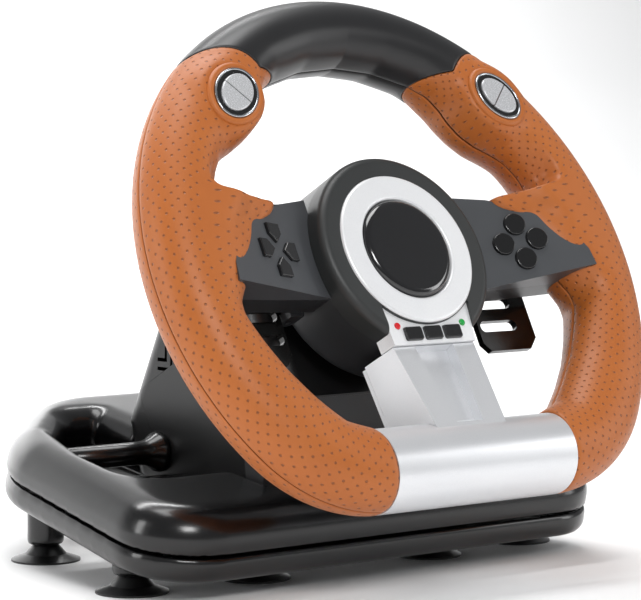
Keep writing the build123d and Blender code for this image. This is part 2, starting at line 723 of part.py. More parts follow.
with BuildPart() as steering_shaft:
    with BuildSketch(wheel_plane(-hub_front_depth - frame_thickness)):
        Circle(flange_radius)
    extrude(amount=-frame_thickness)
    with BuildSketch(wheel_plane(-hub_front_depth - frame_thickness)):
        Circle(shaft_radius)
    extrude(amount=-(shaft_end - hub_front_depth - frame_thickness))
    with BuildSketch(wheel_plane(-stop_front)):
        Circle(shaft_radius + wall)
        with Locations((0, stop_reach / 2)):
            Rectangle(2 * stop_half, stop_reach)
    extrude(amount=-(stop_back - stop_front))
    with BuildSketch(wheel_plane(-shaft_end)):
        Circle(shaft_bore)
    extrude(amount=shaft_end - hub_front_depth - frame_thickness, mode=Mode.SUBTRACT)
save(steering_shaft.part, "steering_shaft")

with BuildPart() as bearing_carrier:
    with BuildSketch(wheel_plane(-carrier_front)):
        Circle(carrier_flange)
    extrude(amount=-carrier_wall)
    with BuildSketch(wheel_plane(-carrier_front)):
        Circle(carrier_outer)
    extrude(amount=-(carrier_end - carrier_front))
    with BuildSketch(wheel_plane(-carrier_front)):
        with Locations((0, -spine_top - spine_thickness / 2)):
            Rectangle(2 * spine_half, spine_thickness)
    extrude(amount=-(sensor_back - carrier_front))
    with BuildSketch(wheel_plane(-carrier_end)):
        with Locations((0, -(spine_top + spine_thickness / 2 + carrier_outer) / 2)):
            Rectangle(2 * spine_half, spine_top + spine_thickness / 2 - carrier_outer + 2 * wall)
    extrude(amount=carrier_wall)
    with BuildSketch(wheel_plane(-stop_front)):
        Circle(spine_top + wall)
        Circle(shaft_radius + wall + part_gap, mode=Mode.SUBTRACT)
        with Locations((0, spine_top - stop_half - part_gap)):
            Rectangle(4 * spine_top, 2 * spine_top, mode=Mode.SUBTRACT)
    extrude(amount=-(stop_back - stop_front))
    with BuildSketch(wheel_plane(-(spring_front + spring_back) / 2 + 3.0)):
        with Locations((0, -(spine_top + spring_radius + spring_wire + face_gap) / 2)):
            Rectangle(spine_half, spine_top - spring_radius - spring_wire - face_gap)
    extrude(amount=-6.0)
    with BuildSketch(wheel_plane(-housing_front + wall)):
        Circle(bush_outer)
    extrude(amount=-(carrier_end - housing_front + 2 * wall), mode=Mode.SUBTRACT)
save(bearing_carrier.part, "bearing_carrier")

with BuildPart() as shaft_bushes:
    for front in (carrier_front + bush_length, carrier_end):
        with BuildSketch(wheel_plane(-front)):
            Circle(bush_outer)
            Circle(shaft_radius + running_clearance, mode=Mode.SUBTRACT)
        extrude(amount=bush_length)
save(shaft_bushes.part, "shaft_bushes")

with BuildPart() as angle_sensor:
    with BuildSketch(wheel_plane(-sensor_back)):
        with Locations((0, -(spine_top - spine_half) / 2)):
            Rectangle(2 * spine_half, spine_top + spine_half)
    extrude(amount=sensor_back - sensor_front)
    with BuildSketch(wheel_plane(-shaft_end - part_gap)):
        Circle(shaft_radius + running_clearance)
    extrude(amount=shaft_end, mode=Mode.SUBTRACT)
save(angle_sensor.part, "angle_sensor")

with BuildPart() as centring_spring:
    with BuildLine() as coil:
        Helix(pitch=(spring_back - spring_front) / spring_turns, height=spring_back - spring_front, radius=spring_radius)
    with BuildSketch(Plane(origin=coil.line @ 0, z_dir=coil.line % 0)):
        Circle(spring_wire)
    sweep(path=coil.line, is_frenet=True)
spring_part = wheel_plane(-spring_back) * centring_spring.part
save(spring_part, "centring_spring")

# ---------------------------------------------------------------- base shells
window_near, window_far = 62.0, 168.0
window_half = 94.0
bay_front, bay_back = 34.0, 139.0
plate_back = 118.0
deck_thickness = 4.0
top_rounding, inner_rounding, low_rounding = 8.0, 5.0, 5.0

with BuildSketch() as base_shape:
    Polygon(
        (-base_half_front, 0), (base_half_front, 0), (base_half_waist, base_waist),
        (base_half_rear, base_depth), (-base_half_rear, base_depth), (-base_half_waist, base_waist),
        align=None,
    )
    fillet(base_shape.vertices().group_by(Axis.Y)[0], radius=front_corner)
    fillet(base_shape.vertices().group_by(Axis.Y)[-1], radius=rear_corner)
    fillet([corner for corner in base_shape.vertices() if abs(corner.Y - base_waist) < 1.0], radius=waist_corner)

with BuildSketch() as side_windows:
    for side in (-1, 1):
        outline([(side * across, back) for across, back in (
            (housing_half - 4.0, window_near), (window_half, window_near), (window_half - 2.0, 100.0),
            (window_half - 13.0, 142.0), (housing_half + 12.0, window_far), (housing_half - 4.0, window_far),
        )])
    outside = [corner for corner in side_windows.vertices() if abs(corner.X) > housing_half]
    fillet(outside, radius=12.0)

with BuildSketch() as base_window:
    add(side_windows.sketch)
    with Locations((0, (bay_front + bay_back) / 2)):
        Rectangle(2 * (housing_half + part_gap), bay_back - bay_front)
    with Locations((0, bay_back + 2 * base_depth)):
        Rectangle(2 * (housing_half - 6.0), 4 * base_depth, mode=Mode.SUBTRACT)

with BuildSketch() as floor_window:
    add(side_windows.sketch)
    with Locations((0, plate_back - base_depth)):
        Rectangle(2 * base_half_front, 2 * base_depth, mode=Mode.SUBTRACT)
    Rectangle(2 * (housing_half + 2 * part_gap), 4 * base_depth, mode=Mode.SUBTRACT)


def base_slab(bottom, height, inset, window, top_round, low_round):
    """Slab of the base's outline with a window in it, rounded top and bottom."""
    with BuildPart() as slab:
        with BuildSketch(base_plane(bottom)):
            offset(base_shape.sketch, amount=-inset)
            offset(window.sketch, amount=inset, mode=Mode.SUBTRACT)
        extrude(amount=height)
        ends = slab.faces().sort_by(Axis(base_plane().origin, base_plane().z_dir))
        if top_round:
            fillet(ends[-1].edges(), radius=top_round)
        if low_round:
            fillet(ends[0].edges(), radius=low_round)
    return slab.part


gland_up, gland_radius, cable_radius = 4.0, 4.0, 2.2
gland_length = 12.0
gland_flange = 1.5
base_screw_spots = [(-104.0, 24.0), (104.0, 24.0), (-98.0, 104.0), (98.0, 104.0), (-40.0, 186.0), (40.0, 186.0)]


def gland_plane(back):
    """Plane square to the cable inlet in the base's back wall."""
    rise = base_plane().z_dir
    along = Vector(0, cos(slope), sin(slope))
    return Plane(origin=base_plane().origin + along * back + rise * gland_up, x_dir=(1, 0, 0), z_dir=along)


with BuildPart() as base_top_shell:
    add(base_slab(face_gap, upper_shell_height, 0, base_window, top_rounding, 0))
    add(base_slab(face_gap, upper_shell_height - base_wall, base_wall, base_window, inner_rounding, 0), mode=Mode.SUBTRACT)
    with BuildSketch(base_plane(face_gap)):
        with Locations(*base_screw_spots):
            Circle(boss_radius + 0.5)
            Circle(screw_radius + running_clearance, mode=Mode.SUBTRACT)
    extrude(amount=upper_shell_height - base_wall / 2)
    with BuildSketch(gland_plane(base_depth - gland_length)):
        Circle(gland_radius + running_clearance)
    extrude(amount=2 * gland_length, mode=Mode.SUBTRACT)
save(base_top_shell.part, "base_top_shell")

with BuildPart() as cable_gland:
    with BuildSketch(gland_plane(base_depth - gland_length + gland_flange)):
        Circle(gland_radius)
    extrude(amount=gland_length)
    with BuildSketch(gland_plane(base_depth)):
        Circle(gland_radius + 1.0)
    extrude(amount=gland_flange)
    with BuildSketch(gland_plane(base_depth - gland_length)):
        Circle(cable_radius)
    extrude(amount=2 * gland_length, mode=Mode.SUBTRACT)
save(cable_gland.part, "cable_gland")

boss_outer = 8.0
stud_length = 5.0
leg_spots = [(side * across, back - hub_forward) for side in (-1, 1) for across, back in cup_spots]


def underside(depth):
    """Height above the table of the lower shell's underside at a distance behind the middle."""
    run = depth + hub_forward - base_front
    return seam_height + run * sin(slope) / cos(slope) - lower_shell_height / cos(slope)


motor_back, motor_up, motor_radius = 62.0, 14.0, 10.0
motor_inner, motor_outer = 8.0, 34.0
board_front, board_back, board_half, board_up = 84.0, 126.0, 34.0, 5.0
main_posts = [(across, back) for across in (-board_half + 4.0, board_half - 4.0) for back in (board_front + 4.0, board_back - 4.0)]

def motor_plane(side, across):
    """Plane square to a rumble motor's shaft, looking outwards."""
    rise = base_plane().z_dir
    along = Vector(0, cos(slope), sin(slope))
    origin = base_plane().origin + along * motor_back + rise * motor_up + Vector(side * across, 0, 0)
    return Plane(origin=origin, x_dir=along, z_dir=(side, 0, 0))


motor_shaft = 1.0
with BuildPart() as motor_bodies:
    for side in (-1, 1):
        with BuildSketch(motor_plane(side, motor_inner)):
            Circle(motor_radius)
        extrude(amount=motor_outer - motor_inner)

with BuildPart() as rumble_motors:
    add(motor_bodies.part)
    for side in (-1, 1):
        with BuildSketch(motor_plane(side, motor_outer - motor_radius)):
            Circle(motor_shaft + running_clearance)
        extrude(amount=motor_outer, mode=Mode.SUBTRACT)
save(rumble_motors.part, "rumble_motors")

weight_radius, weight_thickness, weight_gap = 8.0, 6.0, 1.0
for side, hand in ((-1, "left"), (1, "right")):
    with BuildPart() as rumble_weight:
        with BuildSketch(motor_plane(side, motor_outer + weight_gap)):
            Circle(weight_radius)
            with Locations((0, 2 * weight_radius + motor_shaft)):
                Rectangle(4 * weight_radius, 4 * weight_radius, mode=Mode.SUBTRACT)
            Circle(2 * motor_shaft)
        extrude(amount=weight_thickness)
        with BuildSketch(motor_plane(side, motor_outer - motor_radius + 2 * weight_gap)):
            Circle(motor_shaft)
        extrude(amount=motor_radius + weight_thickness)
    save(rumble_weight.part, f"rumble_weight_{hand}")

with BuildPart() as base_bottom_shell:
    add(base_slab(-lower_shell_height, lower_shell_height, 0, floor_window, 0, low_rounding))
    add(base_slab(-lower_shell_height + base_wall, lower_shell_height, base_wall, base_window, 0, 0), mode=Mode.SUBTRACT)
    with BuildSketch(base_plane(-lower_shell_height)):
        offset(base_window.sketch, amount=-base_wall)
        offset(floor_window.sketch, amount=base_wall, mode=Mode.SUBTRACT)
    extrude(amount=lower_shell_height - deck_thickness, mode=Mode.SUBTRACT)
    for across, depth in leg_spots:
        with BuildSketch(Plane.XY.offset(cup_height)):
            with Locations((across, depth)):
                Circle(boss_outer)
        extrude(amount=underside(depth) - cup_height + base_wall / 2 + boss_outer * sin(slope))
        with BuildSketch(Plane.XY.offset(cup_height - 1.0)):
            with Locations((across, depth)):
                Circle(stud_radius + running_clearance)
        extrude(amount=stud_length + 1.0 + part_gap, mode=Mode.SUBTRACT)
    with BuildSketch(base_plane(-lower_shell_height)):
        with Locations(*base_screw_spots):
            Circle(screw_radius + running_clearance)
    extrude(amount=lower_shell_height, mode=Mode.SUBTRACT)
    with BuildSketch(base_plane(-lower_shell_height)):
        with Locations((-clamp_across, clamp_back), (clamp_across, clamp_back)):
            Circle(clamp_hole_radius)
    extrude(amount=2 * lower_shell_height, mode=Mode.SUBTRACT)
    with BuildSketch(base_plane(-face_gap)):
        with Locations(*main_posts):
            Circle(post_radius)
        for side in (-1, 1):
            with Locations((side * (motor_inner + motor_outer) / 2, motor_back)):
                Rectangle(motor_outer - motor_inner - 4.0, motor_radius)
    extrude(amount=board_up)
    add(motor_bodies.part, mode=Mode.SUBTRACT)
save(base_bottom_shell.part, "base_bottom_shell")

with BuildPart() as main_board:
    with BuildSketch(base_plane(board_up - face_gap)):
        with Locations((0, (board_front + board_back) / 2)):
            RectangleRounded(2 * board_half, board_back - board_front, 2.0)
    extrude(amount=board_thickness)
    with BuildSketch(base_plane(board_up + board_thickness - face_gap)):
        with Locations((0, board_back - 16.0)):
            Rectangle(12.0, 12.0)
        with Locations((-20.0, board_back - 8.0), (20.0, board_back - 8.0)):
            Rectangle(14.0, 6.0)
    extrude(amount=2 * board_thickness)
save(main_board.part, "main_board")

with BuildPart() as base_screws:
    with BuildSketch(base_plane(-lower_shell_height - 1.0)):
        with Locations(*base_screw_spots):
            Circle(2 * screw_radius)
    extrude(amount=1.0)
    with BuildSketch(base_plane(-lower_shell_height)):
        with Locations(*base_screw_spots):
            Circle(screw_radius)
    extrude(amount=lower_shell_height + 10.0)
save(base_screws.part, "base_screws")

with BuildPart() as one_cup:
    with BuildSketch(Plane.XZ):
        outline([
            (0, 2.0), (5.0, 2.0), (cup_radius, 0), (cup_radius, 0.8), (0.6 * cup_radius, 3.0),
            (stud_radius + 1.5, cup_height), (stud_radius, cup_height),
            (stud_radius, cup_height + stud_length), (0, cup_height + stud_length),
        ])
    revolve(axis=Axis.Z)

with BuildPart() as suction_cups:
    for across, depth in leg_spots:
        with Locations((across, depth)):
            add(one_cup.part)
save(suction_cups.part, "suction_cups")

# ---------------------------------------------------------------- cross tubes from the ring to the housing
tube_back, tube_up = 112.0, 13.0
collar_radius, collar_length = 6.5, 4.0

with BuildPart() as cross_tubes:
    for side in (-1, 1):
        rise = base_plane().z_dir
        along = Vector(0, cos(slope), sin(slope))
        start = base_plane().origin + along * tube_back + rise * tube_up + Vector(side * (housing_half + face_gap), 0, 0)
        with BuildSketch(Plane(origin=start, x_dir=along, z_dir=(side, 0, 0))):
            Circle(tube_radius)
        extrude(amount=window_half - housing_half + 2.0)
        with BuildSketch(Plane(origin=start, x_dir=along, z_dir=(side, 0, 0))):
            Circle(collar_radius)
        extrude(amount=collar_length)
    add(base_slab(face_gap, upper_shell_height, 0, base_window, top_rounding, 0), mode=Mode.SUBTRACT)
save(cross_tubes.part, "cross_tubes")

# ---------------------------------------------------------------- housing
housing_top = 44.0
housing_round = 10.0
housing_back = [(120.0, 23.0), (161.0, -6.0), (166.0, -36.0)]    # corners of the back, along the axis and above it
housing_foot = 92.0         # length of the housing where it meets the base
housing_corner = 18.0
seam_back = 143.0
vent_count, vent_width, vent_length, vent_pitch = 3, 1.6, 11.0, 4.0
vent_back, vent_height = 20.0, 78.0    # lower front corner of the outermost vent, side view


def side_point(back, rise):
    """Side-view point a distance back along the steering axis and a height square to it."""
    point = hub - wheel_out * back + wheel_up * rise
    return (point.Y, point.Z)


nose = -hub_forward + base_front + bay_front + 3.0
with BuildSketch() as housing_side:
    outline([
        (nose + 3.0, 0), (nose, seam_height + 8.0),
        side_point(housing_front, -housing_top), side_point(housing_front, housing_top),
        *[side_point(back, rise) for back, rise in housing_back], (nose + housing_foot, 0),
    ])
    fillet(housing_side.vertices().sort_by(Axis.X)[-4:-1], radius=housing_corner)


def housing_body(inset):
    """Housing as one body, shrunk by an inset, standing on the base's deck."""
    with BuildPart() as body:
        with BuildSketch(Plane.YZ):
            offset(housing_side.sketch, amount=-inset, kind=Kind.INTERSECTION)
        extrude(amount=housing_half - inset, both=True)
        ends = body.faces().sort_by(Axis.X)
        curved = (ends[0].edges() + ends[-1].edges()).filter_by(lambda edge: edge.center().Z > seam_height + 24.0)
        fillet(curved, radius=housing_round - inset)
        with BuildSketch(base_plane(face_gap)):
            Rectangle(8 * base_depth, 8 * base_depth)
        extrude(amount=-4 * base_depth, mode=Mode.SUBTRACT)
    return body.part


with BuildPart() as housing_skin:
    add(housing_body(0))
    add(housing_body(housing_wall), mode=Mode.SUBTRACT)
    with BuildSketch(wheel_plane(-housing_front - housing_wall - 1.0)):
        Circle(bush_outer)
    extrude(amount=2 * housing_wall, mode=Mode.SUBTRACT)


def lower_region(room):
    """Side view of the front shell: under the steering axis and ahead of the back seam."""
    outline([side_point(0, -room), side_point(seam_back - room, -room), side_point(seam_back - room, -2 * hub_height), side_point(0, -2 * hub_height)])


def panel_region(room, mode=Mode.ADD):
    """Side view of the charcoal front panel below the steering column."""
    front = nose - 30.0
    back = nose + room
    outline([(front, 0), (back + 5.0, 0), (back + 13.0, 62.0), (back + 4.0, 76.0), (front, 76.0 + room)], mode)


with BuildSketch() as vents:
    for number in range(vent_count):
        step = number * vent_pitch
        near, low = vent_back + step, vent_height + step
        far, high = vent_back + vent_length + vent_pitch, vent_height + vent_length + vent_pitch
        outline([
            (near, high), (near, low), (far, low), (far, low + vent_width),
            (near + vent_width, low + vent_width), (near + vent_width, high),
        ])

for name in ("housing_front_shell", "housing_rear_shell", "housing_front_panel"):
    with BuildPart() as shell:
        add(housing_skin.part)
        with BuildSketch(Plane.YZ):
            if name == "housing_rear_shell":
                lower_region(0)
            elif name == "housing_front_shell":
                lower_region(face_gap)
                panel_region(0, Mode.SUBTRACT)
            else:
                panel_region(-face_gap)
        keep = Mode.SUBTRACT if name == "housing_rear_shell" else Mode.INTERSECT
        extrude(amount=2 * housing_half, both=True, mode=keep)
        if name == "housing_rear_shell":
            with BuildSketch(Plane.YZ):
                add(vents.sketch)
            extrude(amount=2 * housing_half, both=True, mode=Mode.SUBTRACT)
    save(shell.part, name)
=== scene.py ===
import bmesh
import bpy
import json
from bisect import bisect_right
from math import asin, atan2, cos, degrees, pi, radians, sin, sqrt
from mathutils import Matrix, Vector
from mathutils.bvhtree import BVHTree


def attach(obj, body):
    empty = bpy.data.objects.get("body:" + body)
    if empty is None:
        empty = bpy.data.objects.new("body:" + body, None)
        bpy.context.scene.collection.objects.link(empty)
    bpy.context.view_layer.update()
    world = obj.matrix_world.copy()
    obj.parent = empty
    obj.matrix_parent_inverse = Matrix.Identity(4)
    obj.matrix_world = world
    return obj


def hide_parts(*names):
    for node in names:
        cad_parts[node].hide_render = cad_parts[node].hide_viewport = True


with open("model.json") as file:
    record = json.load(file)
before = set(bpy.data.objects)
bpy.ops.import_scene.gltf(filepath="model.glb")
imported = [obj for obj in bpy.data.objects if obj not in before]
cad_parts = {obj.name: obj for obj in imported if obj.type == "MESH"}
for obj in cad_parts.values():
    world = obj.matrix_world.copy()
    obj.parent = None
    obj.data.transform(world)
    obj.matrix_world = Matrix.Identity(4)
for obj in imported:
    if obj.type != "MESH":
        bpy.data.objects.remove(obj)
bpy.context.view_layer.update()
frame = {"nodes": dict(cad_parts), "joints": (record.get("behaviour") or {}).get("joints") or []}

# ------------------------------------------------------------------ studio: camera, floor and lights
# The wheel stands on a pale seamless table under broad soft lamps, seen from low on the driver's left.
mm = 0.001
steering = next(joint for joint in frame["joints"] if joint["name"] == "steering")
hub = Vector(steering["pos_m"])
wheel_out = Vector(steering["axis"]).normalized()
if wheel_out.y > 0:
    wheel_out = -wheel_out
wheel_right = Vector((1, 0, 0))
wheel_up = wheel_out.cross(wheel_right)


def aim(thing, target):
    """Turn a lamp or camera so that it looks at a point."""
    thing.rotation_euler = (target - thing.location).to_track_quat("-Z", "Y").to_euler()


camera = bpy.data.objects.new("camera", bpy.data.cameras.new("camera"))
bpy.context.scene.collection.objects.link(camera)
camera.data.sensor_width = 36.0
camera.data.lens = 146.0
camera.location = (-0.7046, -0.8861, 0.1843)
bpy.context.scene.view_settings.view_transform = "Standard"
look_at = Vector((-0.04675, -0.0773, 0.11816))
aim(camera, look_at)
bpy.context.scene.camera = camera


def softbox(name, place, size, power, target=look_at):
    """Square area lamp that faces the wheel."""
    lamp = bpy.data.objects.new(name, bpy.data.lights.new(name, "AREA"))
    bpy.context.scene.collection.objects.link(lamp)
    lamp.data.shape = "RECTANGLE"
    lamp.data.size, lamp.data.size_y = size
    lamp.data.energy = power
    lamp.location = place
    aim(lamp, target)
    return lamp


softbox("key_softbox", (-0.55, -1.3, 0.95), (0.5, 0.4), 9.5)
softbox("fill_softbox", (1.2, -0.9, 0.5), (0.3, 0.8), 3.2)
softbox("top_softbox", (0.0, 0.1, 1.4), (0.9, 0.6), 9.5)
softbox("side_softbox", (-1.3, 0.35, 0.5), (0.25, 0.9), 4.5)
softbox("backdrop_softbox", (0.3, 1.1, 1.6), (1.6, 0.6), 52.0, Vector((0.4, 2.2, 0.2)))


def linear(colour):
    """sRGB hex to the linear values that a shader takes."""
    parts = [int(colour[i:i + 2], 16) / 255 for i in (1, 3, 5)]
    return tuple(c / 12.92 if c <= 0.04045 else ((c + 0.055) / 1.055) ** 2.4 for c in parts) + (1.0,)


world = bpy.data.worlds.new("studio")
bpy.context.scene.world = world
world.use_nodes = True
world.node_tree.nodes["Background"].inputs["Color"].default_value = linear("#f4f5f7")
world.node_tree.nodes["Background"].inputs["Strength"].default_value = 0.3


def add_node(tree, kind, inputs=None, **settings):
    """One shader node with its settings, its values and the sockets it is fed from."""
    made = tree.nodes.new(kind)
    for name, value in settings.items():
        setattr(made, name, value)
    for name, value in (inputs or {}).items():
        if isinstance(value, bpy.types.NodeSocket):
            tree.links.new(value, made.inputs[name])
        else:
            made.inputs[name].default_value = value
    return made


def new_material(name):
    """Empty material: gives the material, its tree and its shader."""
    material = bpy.data.materials.new(name)
    material.use_nodes = True
    return material, material.node_tree, material.node_tree.nodes["Principled BSDF"]


# Matt painted table: even and pale, so that only soft contact shadows show.
table_paint, tree, shader = new_material("table_matt_paint")
shader.inputs["Roughness"].default_value = 0.9
where = add_node(tree, "ShaderNodeTexCoord").outputs["Object"]
mottle = add_node(tree, "ShaderNodeTexNoise", {"Vector": where, "Scale": 3.0})
tone = add_node(tree, "ShaderNodeValToRGB", {"Fac": mottle.outputs["Fac"]})
tone.color_ramp.elements[0].color = linear("#f6f6f6")
tone.color_ramp.elements[1].color = linear("#fdfdfd")
tree.links.new(tone.outputs["Color"], shader.inputs["Base Color"])

table_half, sweep_start, sweep_curve = 3.0, 1.2, 0.9
sweep_mesh = bmesh.new()
bmesh.ops.create_grid(sweep_mesh, x_segments=1, y_segments=24, size=table_half)
for point in sweep_mesh.verts:
    beyond = max(0.0, point.co.y - sweep_start)
    point.co.z = sweep_curve * beyond * beyond
table_mesh = bpy.data.meshes.new("table_top")
sweep_mesh.to_mesh(table_mesh)
sweep_mesh.free()
table_mesh.polygons.foreach_set("use_smooth", [True] * len(table_mesh.polygons))
table = bpy.data.objects.new("table_top", table_mesh)
bpy.context.scene.collection.objects.link(table)
table.data.materials.append(table_paint)


# ------------------------------------------------------------------ base: lower and upper shell, cross tubes, screws
# Two injection-moulded ABS shells that meet at a seam all round and are screwed together from below.
# Two moulded cross tubes brace the ring to the housing.
def moulded_plastic(name, colour, worn, roughness, grain, depth, coat=0.0):
    """Moulded plastic: fine cloudy tone, uneven gloss, and a mould grain of a size in millimetres."""
    material, tree, shader = new_material(name)
    where = add_node(tree, "ShaderNodeTexCoord").outputs["Object"]
    cloud = add_node(tree, "ShaderNodeTexNoise", {"Vector": where, "Scale": 1 / (25 * mm), "Detail": 3.0})
    tone = add_node(tree, "ShaderNodeMix", {"Factor": cloud.outputs["Fac"]}, data_type="RGBA")
    tone.inputs["A"].default_value = linear(colour)
    tone.inputs["B"].default_value = linear(worn)
    tree.links.new(tone.outputs["Result"], shader.inputs["Base Color"])
    sheen = add_node(tree, "ShaderNodeMapRange", {"Value": cloud.outputs["Fac"]})
    sheen.inputs["To Min"].default_value = 0.86 * roughness
    sheen.inputs["To Max"].default_value = 1.16 * roughness
    tree.links.new(sheen.outputs["Result"], shader.inputs["Roughness"])
    texture = add_node(tree, "ShaderNodeTexNoise", {"Vector": where, "Scale": 1 / (grain * mm), "Detail": 2.0})
    relief = add_node(tree, "ShaderNodeBump", {"Height": texture.outputs["Fac"], "Distance": depth * mm})
    tree.links.new(relief.outputs["Normal"], shader.inputs["Normal"])
    shader.inputs["IOR"].default_value = 1.53
    shader.inputs["Coat Weight"].default_value = coat
    shader.inputs["Coat Roughness"].default_value = 0.12
    return material


def finish_node(name, material):
    """Give a CAD node its finish in every one of its material slots."""
    shape = frame["nodes"][name].data
    if not shape.materials:
        shape.materials.append(material)
    for index in range(len(shape.materials)):
        shape.materials[index] = material


def new_piece(name, mesh, material, body, node=None):
    """Smooth piece with its finish, the body that it rides on and the node that it stands for."""
    mesh.polygons.foreach_set("use_smooth", [True] * len(mesh.polygons))
    mesh.materials.clear()
    mesh.materials.append(material)
    piece = bpy.data.objects.new(name, mesh)
    bpy.context.scene.collection.objects.link(piece)
    if node:
        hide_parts(node)
    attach(piece, body)
    return piece


# ABS polished in the mould: deep black, with crisp soft highlights that waver a little.
gloss_abs = moulded_plastic("abs_polished_black", "#050506", "#09090a", 0.24, 6.0, 0.02, coat=0.15)

base_slope = radians(8.0)
seam_from_hub = Vector((0, 2.0, -120.0))
base_seam = Matrix.Translation(hub + mm * seam_from_hub) @ Matrix.Rotation(base_slope, 4, "X")


def outline_walls(corners):
    """Upright walls round an outline of corners, each given as across, back and corner radius in mm."""
    flat = bmesh.new()
    points = [flat.verts.new((across * mm, back * mm, -0.05)) for across, back, _ in corners]
    flat.faces.new(points)
    count = len(corners)
    for index, (across, back, radius) in enumerate(corners):
        if radius:
            here = Vector((across, back))
            before = (Vector(corners[index - 1][:2]) - here).normalized()
            after = (Vector(corners[(index + 1) % count][:2]) - here).normalized()
            half = before.angle(after) / 2
            cut = radius / (sin(half) / cos(half))
            bmesh.ops.bevel(
                flat, geom=[points[index]], offset=cut * mm, affect="VERTICES",
                segments=14, profile=0.5, material=-1,
            )
    raised = bmesh.ops.extrude_edge_only(flat, edges=flat.edges[:])["geom"]
    raised = [part for part in raised if isinstance(part, bmesh.types.BMVert)]
    bmesh.ops.translate(flat, verts=raised, vec=(0, 0, 0.1))
    level = [face for face in flat.faces if abs(face.normal.z) > 0.5]
    bmesh.ops.delete(flat, geom=level, context="FACES_ONLY")
    tree = BVHTree.FromBMesh(flat)
    flat.free()
    across_sum, back_sum = (sum(corner[axis] for corner in corners) for axis in (0, 1))
    middle = Vector((across_sum, back_sum, 0)) * mm / count
    return tree, middle


outer_walls = outline_walls((
    (-127, 0, 30), (127, 0, 30), (110, 140, 60), (52, 204, 45), (-52, 204, 45), (-110, 140, 60),
))
window_corners = ((43, 62, 0), (94, 62, 12), (92, 100, 12), (81, 142, 12), (59, 168, 12), (43, 168, 0))
window_walls = [
    outline_walls([(side * across, back, radius) for across, back, radius in window_corners]) for side in (-1, 1)
]


def round_over(point, walls, into_shape, centre_height, radius, upwards):
    """Bring a point of a slab's skin onto a rounded edge of a larger radius."""
    tree, middle = walls
    spot, normal, _, _ = tree.find_nearest(Vector((point.x, point.y, 0)))
    away = Vector((spot.x - middle.x, spot.y - middle.y, 0))
    inward = Vector((normal.x, normal.y, 0)).normalized()
    if (inward.dot(away) > 0) == into_shape:
        inward = -inward
    offset = Vector((point.x - spot.x, point.y - spot.y, 0))
    if offset.dot(inward) > 0:
        inward = offset.normalized()
    depth = offset.dot(inward)
    rise = (point.z - centre_height) * upwards
    if depth < radius and rise > 0 and depth > -2 * mm:
        away_from_centre = Vector((depth - radius, rise))
        if away_from_centre.length > 0.97 * radius:
            away_from_centre *= radius / away_from_centre.length
            depth = radius + away_from_centre.x
            place = spot + inward * depth
            return Vector((place.x, place.y, centre_height + upwards * away_from_centre.y))
    return point


shell_cell = 1.4        # size of the cells that a shell is worked over in, mm


def moulded_shell(name, node, roundings):
    """Base shell with soft edges; a rounding has walls, side, height of its centre, radius and up or down."""
    shape = frame["nodes"][node].data.copy()
    shape.transform(base_seam.inverted())
    work = bmesh.new()
    work.from_mesh(shape)
    bmesh.ops.remove_doubles(work, verts=work.verts, dist=0.001 * mm)
    work.to_mesh(shape)
    work.free()
    blank = bpy.data.objects.new(name + "_blank", shape)
    bpy.context.scene.collection.objects.link(blank)
    cells = blank.modifiers.new("cells", "REMESH")
    cells.mode = "VOXEL"
    cells.voxel_size = shell_cell * mm
    mesh = bpy.data.meshes.new_from_object(blank.evaluated_get(bpy.context.evaluated_depsgraph_get()))
    bpy.data.objects.remove(blank)
    work = bmesh.new()
    work.from_mesh(mesh)
    for walls, into_shape, centre, radius, upwards in roundings:
        for point in work.verts:
            point.co = round_over(point.co, walls, into_shape, centre * mm, radius * mm, upwards)
    for _ in range(3):
        bmesh.ops.smooth_vert(
            work, verts=work.verts, factor=0.5, use_axis_x=True, use_axis_y=True, use_axis_z=True,
        )
    work.to_mesh(mesh)
    work.free()
    mesh.transform(base_seam)
    mesh.name = name
    new_piece(name, mesh, gloss_abs, "base", node)


moulded_shell("base_ring_upper", "base_top_shell", [
    (outer_walls, True, 5.0, 14.0, 1),
    (window_walls[0], False, 8.0, 11.0, 1),
    (window_walls[1], False, 8.0, 11.0, 1),
    (outer_walls, True, 2.6, 2.4, -1),
])
moulded_shell("base_ring_lower", "base_bottom_shell", [
    (outer_walls, True, -2.4, 2.4, 1),
])

# Cross tubes: each runs from a flared collar on the housing into the ring's inner wall.
# The profile is distance along the tube and radius, in mm.
tube_profile = (
    (0, 0.5), (0, 8.6), (1.5, 9.0), (3.5, 8.4), (6.0, 6.6), (9.0, 5.4), (13.0, 5.0), (52.0, 5.0), (54.0, 0.5),
)
tube_across, tube_back, tube_height = 46.5, 112.0, 13.0
for side, hand in ((-1, "left"), (1, "right")):
    tube = bmesh.new()
    points = [tube.verts.new((away * mm, 0, radius * mm)) for away, radius in tube_profile]
    for first, second in zip(points, points[1:]):
        tube.edges.new((first, second))
    bmesh.ops.spin(
        tube, geom=tube.verts[:] + tube.edges[:], cent=(0, 0, 0), axis=(1, 0, 0),
        angle=2 * pi, steps=48, use_merge=True,
    )
    bmesh.ops.scale(tube, verts=tube.verts, vec=(side, 1, 1))
    bmesh.ops.translate(tube, verts=tube.verts, vec=mm * Vector((side * tube_across, tube_back, tube_height)))
    bmesh.ops.transform(tube, verts=tube.verts, matrix=base_seam)
    bmesh.ops.recalc_face_normals(tube, faces=tube.faces)
    mesh = bpy.data.meshes.new(f"cross_tube_{hand}")
    tube.to_mesh(mesh)
    tube.free()
    new_piece(f"cross_tube_{hand}", mesh, gloss_abs, "base", "cross_tubes")


